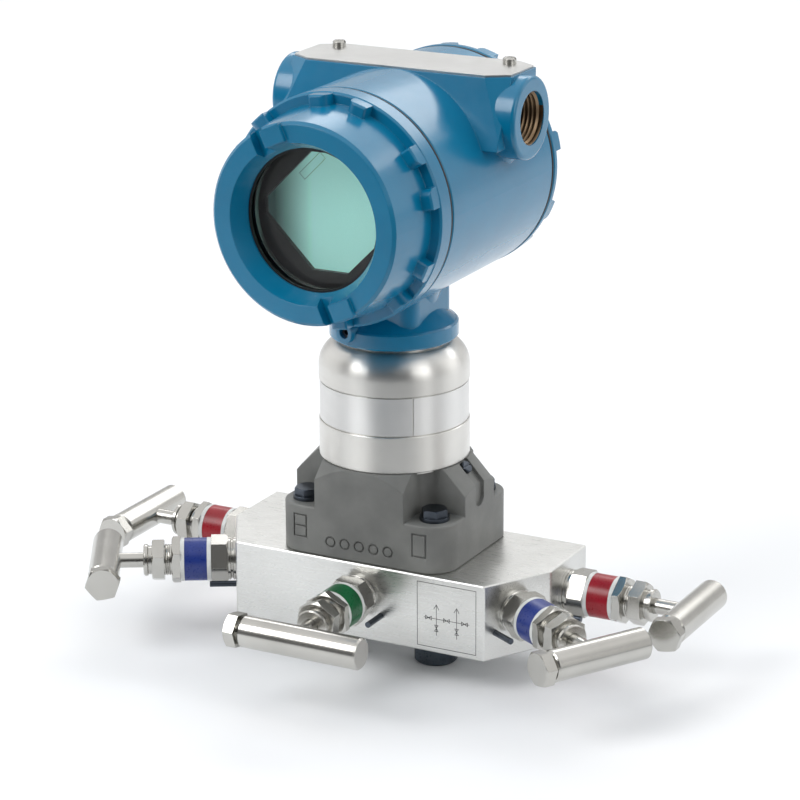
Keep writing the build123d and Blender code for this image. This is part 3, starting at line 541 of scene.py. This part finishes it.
def turned_mesh(name: str, outline: Sequence[Spot], place: Matrix, steps: int = 96) -> bpy.types.Mesh:
    """Turns a closed outline of (radius, height) points about the frame's Z axis.

    Args:
        name: the mesh's name.
        outline: points of the section, in millimetres.
        place: frame of the axis.
        steps: divisions of the circle.

    Returns:
        The mesh.
    """
    shape = bmesh.new()
    rings = []
    for index in range(steps):
        angle = tau * index / steps
        rings.append([shape.verts.new(round_point(place, r, angle, h)) for r, h in outline])
    for here, there in zip(rings, [*rings[1:], rings[0]]):
        for point in range(len(outline)):
            after = (point + 1) % len(outline)
            shape.faces.new((here[point], there[point], there[after], here[after]))
    return finish_mesh(name, shape, SMOOTH_TURNED)


@dataclass(frozen=True)
class Thread:
    """Helical thread on a cylinder wall, in millimetres."""

    radius: float
    depth: float
    pitch: float
    length: float
    inward: bool
    steps: int

    def mesh(self, name: str, place: Matrix) -> bpy.types.Mesh:
        """Winds the thread.

        Args:
            name: the mesh's name.
            place: frame of the axis, where the thread begins.

        Returns:
            The mesh.
        """
        shape = bmesh.new()
        total = int(self.length / self.pitch * self.steps)
        growing = RUN_OUT_TURNS * self.steps
        columns = []
        for index in range(total + 1):
            angle = tau * index / self.steps
            climb = self.pitch * index / self.steps
            grown = self.depth * min(1.0, index / growing, (total - index) / growing)
            crest = self.radius - grown if self.inward else self.radius + grown
            section = [(self.radius, 0.0), (crest, CREST_START), (crest, CREST_END), (self.radius, 1.0)]
            columns.append([
                shape.verts.new(round_point(place, r, angle, climb + self.pitch * h)) for r, h in section
            ])
        for here, there in zip(columns, columns[1:]):
            for point in range(len(section) - 1):
                shape.faces.new((here[point], there[point], there[point + 1], here[point + 1]))
        return finish_mesh(name, shape, SMOOTH_THREAD)


@dataclass(frozen=True)
class Pen:
    """Draws lines as thin bars on a face that looks to the front, in millimetres."""

    front: float
    width: float
    proud: float

    def line(self, shape: bmesh.types.BMesh, start: Spot, end: Spot) -> None:
        """Adds one line.

        Args:
            shape: the bmesh to add to.
            start: first end, as x and z.
            end: second end.
        """
        first, last = Vector(start), Vector(end)
        along = (last - first).normalized() * (self.width / 2)
        aside = Vector((-along.y, along.x))
        corners = [first - along - aside, last + along - aside, last + along + aside, first - along + aside]
        low = [shape.verts.new(Vector((c.x, self.front + LINE_SUNK, c.y)) * MM) for c in corners]
        top = [shape.verts.new(Vector((c.x, self.front - self.proud, c.y)) * MM) for c in corners]
        shape.faces.new(top)
        shape.faces.new(low[::-1])
        for index in range(4):
            after = (index + 1) % 4
            shape.faces.new((low[index], low[after], top[after], top[index]))

    def loop(self, shape: bmesh.types.BMesh, points: Sequence[Spot]) -> None:
        """Adds a closed outline.

        Args:
            shape: the bmesh to add to.
            points: its corners, as x and z.
        """
        for start, end in zip(points, [*points[1:], points[0]]):
            self.line(shape, start, end)


@dataclass
class Camera:
    """The photograph's camera."""

    azimuth: float = PHOTO_AZIMUTH
    elevation: float = 17.79
    distance: float = 1.26307
    roll: float = -0.28
    aside: float = 0.00223
    height: float = 0.09123
    focal_pixels: float = 3136.13
    image_pixels: float = 800.0
    sensor: float = 36.0

    def build(self) -> None:
        """Places the camera and makes it the scene's own."""
        az, el, roll = radians(self.azimuth), radians(self.elevation), radians(self.roll)
        back = Vector((sin(az) * cos(el), -cos(az) * cos(el), sin(el)))
        right = Vector((cos(az), sin(az), 0.0))
        up = back.cross(right)
        target = Vector((0.0, 0.0, self.height)) + right * self.aside
        across = right * cos(roll) + up * sin(roll)
        above = up * cos(roll) - right * sin(roll)
        lens = bpy.data.cameras.new("photo_camera")
        lens.sensor_width = self.sensor
        lens.lens = self.focal_pixels / self.image_pixels * self.sensor
        camera = bpy.data.objects.new("photo_camera", lens)
        turn = Matrix((across, above, back)).transposed().to_4x4()
        camera.matrix_world = Matrix.Translation(target + back * self.distance) @ turn
        bpy.context.scene.collection.objects.link(camera)
        bpy.context.scene.camera = camera


@dataclass(frozen=True)
class SoftLight:
    """One soft rectangular light, in metres and watts."""

    name: str
    place: Point
    aim: Point
    size: Spot
    power: float

    def build(self) -> None:
        """Adds the light, turned to its aim."""
        data = bpy.data.lights.new(self.name, "AREA")
        data.shape = "RECTANGLE"
        data.size, data.size_y = self.size
        data.energy = self.power
        light = bpy.data.objects.new(self.name, data)
        light.matrix_world = frame_of(self.place, Vector(self.place) - Vector(self.aim))
        bpy.context.scene.collection.objects.link(light)


@dataclass
class Studio:
    """Pale floor with painted shade towards the front, soft lights and the surroundings that the metal mirrors."""

    floor_half: float = 8.0
    front: float = PHOTO_AZIMUTH
    back_tone: float = 0.62
    top_tone: float = 1.0
    top_fade: Spot = (0.5, 0.85)
    bands: tuple[Spot, ...] = (
        (-160, 0.62), (-140, 1.0), (-104, 0.9), (-80, 0.16), (-40, 0.12), (-20, 0.06), (15, 0.06),
        (34, 0.12), (48, 1.3), (72, 0.5), (103, 1.5), (124, 0.6), (145, 0.9), (160, 0.62),
    )
    lights: tuple[SoftLight, ...] = (
        SoftLight("key_light", (-0.75, -1.15, 1.25), (0.0, 0.0, 0.12), (0.9, 0.9), 14.0),
        SoftLight("side_light", (1.5, -0.5, 0.9), (0.0, 0.0, 0.12), (0.9, 0.9), 4.0),
        SoftLight("back_light", (-0.15, 1.5, 1.2), (0.0, 0.0, 0.15), (2.4, 0.4), 9.0),
    )

    def build(self, finishes: Finishes) -> None:
        """Makes the floor, the surroundings and the lights.

        Args:
            finishes: the finishes.
        """
        self.build_floor(finishes)
        self.build_surroundings()
        for light in self.lights:
            light.build()

    def build_floor(self, finishes: Finishes) -> None:
        """Lays the floor under the process plugs.

        Args:
            finishes: the finishes.
        """
        low = CAD_BOX[0][2]
        half = self.floor_half
        mesh = bpy.data.meshes.new("floor")
        corners = [(-half, -half, low), (half, -half, low), (half, half, low), (-half, half, low)]
        mesh.from_pydata(corners, [], [(0, 1, 2, 3)])
        floor = bpy.data.objects.new("floor", mesh)
        bpy.context.scene.collection.objects.link(floor)
        # the floor's finish carries painted shade towards the front
        finishes.dress(floor, "floor_paper_with_painted_shade")

    def build_surroundings(self) -> None:
        """Sets a dome that is dark to the front and white at its top, for bright metal to mirror."""
        world = bpy.data.worlds.new("studio")
        bpy.context.scene.world = world
        world.use_nodes = True
        tree = world.node_tree
        tree.nodes.clear()
        output = tree.nodes.new("ShaderNodeOutputWorld")
        glow = tree.nodes.new("ShaderNodeBackground")
        place = tree.nodes.new("ShaderNodeTexCoord")
        turn = tree.nodes.new("ShaderNodeMapping")
        turn.inputs["Rotation"].default_value = (0.0, 0.0, -radians(self.front))
        split = tree.nodes.new("ShaderNodeSeparateXYZ")
        tree.links.new(place.outputs["Generated"], turn.inputs["Vector"])
        tree.links.new(turn.outputs["Vector"], split.inputs["Vector"])
        level = self.tone_around(tree, split)
        tree.links.new(self.whitened(tree, split.outputs["Z"], level), glow.inputs["Color"])
        tree.links.new(glow.outputs["Background"], output.inputs["Surface"])
        bpy.context.scene.view_settings.view_transform = "Standard"

    def tone_around(self, tree: bpy.types.NodeTree, split: bpy.types.Node) -> Socket:
        """Returns the dome's tone by the angle around the object, with the front in the middle.

        Args:
            tree: the world's node tree.
            split: node that splits the turned direction.

        Returns:
            The colour's socket.
        """
        backward = tree.nodes.new("ShaderNodeMath")
        backward.operation = "MULTIPLY"
        backward.inputs[1].default_value = -1.0
        around = tree.nodes.new("ShaderNodeMath")
        around.operation = "ARCTAN2"
        share = tree.nodes.new("ShaderNodeMapRange")
        share.inputs["From Min"].default_value = -pi
        share.inputs["From Max"].default_value = pi
        ramp = tree.nodes.new("ShaderNodeValToRGB")
        stops = ramp.color_ramp.elements
        stops[0].color = stops[1].color = grey(self.back_tone)
        for degrees, tone in self.bands:
            stops.new(degrees / 360 + 0.5).color = grey(tone)
        tree.links.new(split.outputs["Y"], backward.inputs[0])
        tree.links.new(split.outputs["X"], around.inputs[0])
        tree.links.new(backward.outputs["Value"], around.inputs[1])
        tree.links.new(around.outputs["Value"], share.inputs["Value"])
        tree.links.new(share.outputs["Result"], ramp.inputs["Fac"])
        return ramp.outputs["Color"]

    def whitened(self, tree: bpy.types.NodeTree, height: Socket, level: Socket) -> Socket:
        """Blends the dome's level tone into that of its top.

        Args:
            tree: the world's node tree.
            height: socket of the direction's height.
            level: colour socket of the level tone.

        Returns:
            The blended colour's socket.
        """
        share = tree.nodes.new("ShaderNodeMapRange")
        share.inputs["From Min"].default_value, share.inputs["From Max"].default_value = self.top_fade
        mix = tree.nodes.new("ShaderNodeMix")
        mix.data_type = "RGBA"
        mix.inputs[MIX_HIGH].default_value = grey(self.top_tone)
        tree.links.new(height, share.inputs["Value"])
        tree.links.new(share.outputs["Result"], mix.inputs["Factor"])
        tree.links.new(level, mix.inputs[MIX_LOW])
        return mix.outputs[MIX_RESULT]


@dataclass
class CadFinish:
    """Finishes of the nodes that keep their own shape."""

    by_node: dict[str, str] = field(default_factory=lambda: {
        "nameplate": "plate_foil", "base_side_screw": "bolt_steel", "lock_pins": "bolt_steel",
    })

    def build(self, finishes: Finishes) -> None:
        """Dresses every node in the finish of its slot, or in one of its own.

        Args:
            finishes: the finishes.
        """
        slots = {part["node"]: part["material_slot"] for part in frame["record"]["subparts"]}
        for node, thing in frame["nodes"].items():
            finishes.dress(thing, self.by_node.get(node, slots[node]))


@dataclass
class Conduits:
    """Threads of the two conduit entries, whose mouths lie at a place across and a height."""

    thread: Thread = Thread(radius=10.6, depth=0.9, pitch=1.814, length=14.6, inward=True, steps=64)
    mouth: float = 53.4
    across: float = 14.1
    height: float = 209.65

    def build(self, finishes: Finishes) -> None:
        """Winds a thread into each entry.

        Args:
            finishes: the finishes.
        """
        for side, word in ((-1, "left"), (1, "right")):
            start = side * (self.mouth - self.thread.length - self.thread.pitch) * MM
            place = frame_of((start, self.across * MM, self.height * MM), (side, 0, 0))
            mesh = self.thread.mesh(f"conduit_thread_{word}", place)
            thing = add_piece(f"conduit_thread_{word}", mesh, "housing")
            finishes.dress(thing, "thread_bronze")


@dataclass
class ValveTrim:
    """Threads and sleeve edges of the five valves, with places along each valve's axis."""

    names: tuple[str, ...] = ("equalize", "isolate_left", "isolate_right", "vent_left", "vent_right")
    thread: Thread = Thread(radius=6.15, depth=0.35, pitch=1.0, length=3.1, inward=False, steps=40)
    thread_start: float = 26.2
    band_start: float = 10.4
    band_end: float = 23.1
    rim_inner: float = 8.65
    rim_outer: float = 9.0
    rim_width: float = 1.7

    def build(self, finishes: Finishes) -> None:
        """Adds the trim of each valve.

        Args:
            finishes: the finishes.
        """
        for name in self.names:
            joint = turn_joint(name)
            place = frame_of(joint["pos_m"], joint["axis"])
            self.add_rims(name, place, finishes)
            start = place @ Matrix.Translation((0, 0, self.thread_start * MM))
            mesh = self.thread.mesh(f"{name}_thread", start)
            finishes.dress(add_piece(f"{name}_thread", mesh, "manifold"), "valve_steel")

    def add_rims(self, name: str, place: Matrix, finishes: Finishes) -> None:
        """Adds the pale rims of one sleeve.

        Args:
            name: the valve's name.
            place: the valve's frame.
            finishes: the finishes.
        """
        for word, low in (("inner", self.band_start), ("outer", self.band_end - self.rim_width)):
            high = low + self.rim_width
            outline = [
                (self.rim_inner, low), (self.rim_outer, low), (self.rim_outer, high), (self.rim_inner, high),
            ]
            mesh = turned_mesh(f"{name}_sleeve_{word}_rim", outline, place)
            thing = add_piece(f"{name}_sleeve_{word}_rim", mesh, "manifold")
            finishes.dress(thing, "sleeve_edge")


@dataclass
class SealBeads:
    """Black beads of the two cover seals, where they bulge into the seams."""

    inner: float = 44.9
    shoulder: float = 45.5
    outer: float = 45.75
    width: float = 1.3
    slope: float = 0.02
    crown: float = 0.3
    steps: int = 128

    def build(self, finishes: Finishes) -> None:
        """Turns one bead for each cover, as wide as its seal.

        Args:
            finishes: the finishes.
        """
        outline = [
            (self.inner, 0.0), (self.shoulder, self.slope), (self.outer, self.crown),
            (self.outer, self.width - self.crown), (self.shoulder, self.width - self.slope),
            (self.inner, self.width),
        ]
        for side in ("front", "rear"):
            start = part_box(f"{side}_cover_seal")[0][1]
            height = turn_joint(f"{side}_cover")["pos_m"][2]
            place = frame_of((0, start, height), (0, 1, 0))
            mesh = turned_mesh(f"{side}_seal_bead", outline, place, self.steps)
            thing = add_piece(f"{side}_seal_bead", mesh, f"{side}_seal_ring")
            finishes.dress(thing, "seal_rubber")


@dataclass
class DisplayMark:
    """Fine outlined strip in the upper left of the display, around the housing's axis."""

    line: float = 0.16
    proud: float = 0.02
    corners: tuple[Spot, ...] = ((-13.8, 13.7), (-11.5, 11.4), (-2.4, 20.5), (-4.7, 22.8))

    def build(self, finishes: Finishes) -> None:
        """Draws the strip on the panel's face.

        Args:
            finishes: the finishes.
        """
        axis = turn_joint("front_cover")["pos_m"][2] / MM
        pen = Pen(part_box("display_panel")[0][1] / MM, self.line, self.proud)
        shape = bmesh.new()
        pen.loop(shape, [(x, axis + z) for x, z in self.corners])
        mesh = finish_mesh("display_mark", shape, SMOOTH_DRAWN)
        finishes.dress(add_piece("display_mark", mesh, "housing"), "panel_line")


@dataclass
class FlowDiagram:
    """Marked frame on the block's front, with a plain diagram of lines and valve signs."""

    left: float = 27.0
    right: float = 53.0
    low: float = 2.2
    high: float = 29.2
    line: float = 0.22
    proud: float = 0.03
    line_aside: float = 4.5
    line_low: float = 7.5
    line_high: float = 20.5
    arrow_half: float = 1.1
    arrow_low: float = 18.6
    lower_valve: float = 10.5
    cross_height: float = 14.5
    cross_margin: float = 3.0
    cross_spacing: float = 8.0
    sign_reach: float = 1.3
    sign_half: float = 0.8

    def build(self, finishes: Finishes) -> None:
        """Draws the frame, the two pressure lines and five valve signs.

        Args:
            finishes: the finishes.
        """
        pen = Pen(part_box("manifold_block")[0][1] / MM, self.line, self.proud)
        shape = bmesh.new()
        pen.loop(shape, [(self.left, self.low), (self.right, self.low), (self.right, self.high),
                         (self.left, self.high)])
        middle = (self.left + self.right) / 2
        for x in (middle - self.line_aside, middle + self.line_aside):
            tip = (x, self.line_high)
            pen.line(shape, (x, self.line_low), tip)
            pen.line(shape, (x - self.arrow_half, self.arrow_low), tip)
            pen.line(shape, (x + self.arrow_half, self.arrow_low), tip)
            self.valve_sign(pen, shape, x, self.lower_valve, True)
        pen.line(shape, (self.left + self.cross_margin, self.cross_height),
                 (self.right - self.cross_margin, self.cross_height))
        for x in (middle - self.cross_spacing, middle, middle + self.cross_spacing):
            self.valve_sign(pen, shape, x, self.cross_height, False)
        mesh = finish_mesh("flow_diagram", shape, SMOOTH_DRAWN)
        finishes.dress(add_piece("flow_diagram", mesh, "manifold"), "ink_dark")

    def valve_sign(self, pen: Pen, shape: bmesh.types.BMesh, x: float, z: float, upright: bool) -> None:
        """Draws two triangles that meet, the usual sign of a valve.

        Args:
            pen: the pen to draw with.
            shape: the bmesh to add to.
            x: its middle.
            z: its height.
            upright: whether the triangles lie one above the other.
        """
        for way in (-1, 1):
            ends = [(way * self.sign_reach, self.sign_half), (way * self.sign_reach, -self.sign_half)]
            if upright:
                ends = [(across, along) for along, across in ends]
            pen.loop(shape, [*((x + a, z + b) for a, b in ends), (x, z)])


def main() -> None:
    """Builds the camera, the studio and every sub-assembly in order."""
    logging.basicConfig(level=logging.INFO, format="%(name)s: %(message)s")
    Camera().build()
    LOG.info("built %s", Camera.__name__)
    finishes = Finishes()
    for part in (Studio(), CadFinish(), Conduits(), ValveTrim(), SealBeads(), DisplayMark(), FlowDiagram()):
        part.build(finishes)
        LOG.info("built %s", type(part).__name__)


if __name__ == "__main__":
    main()
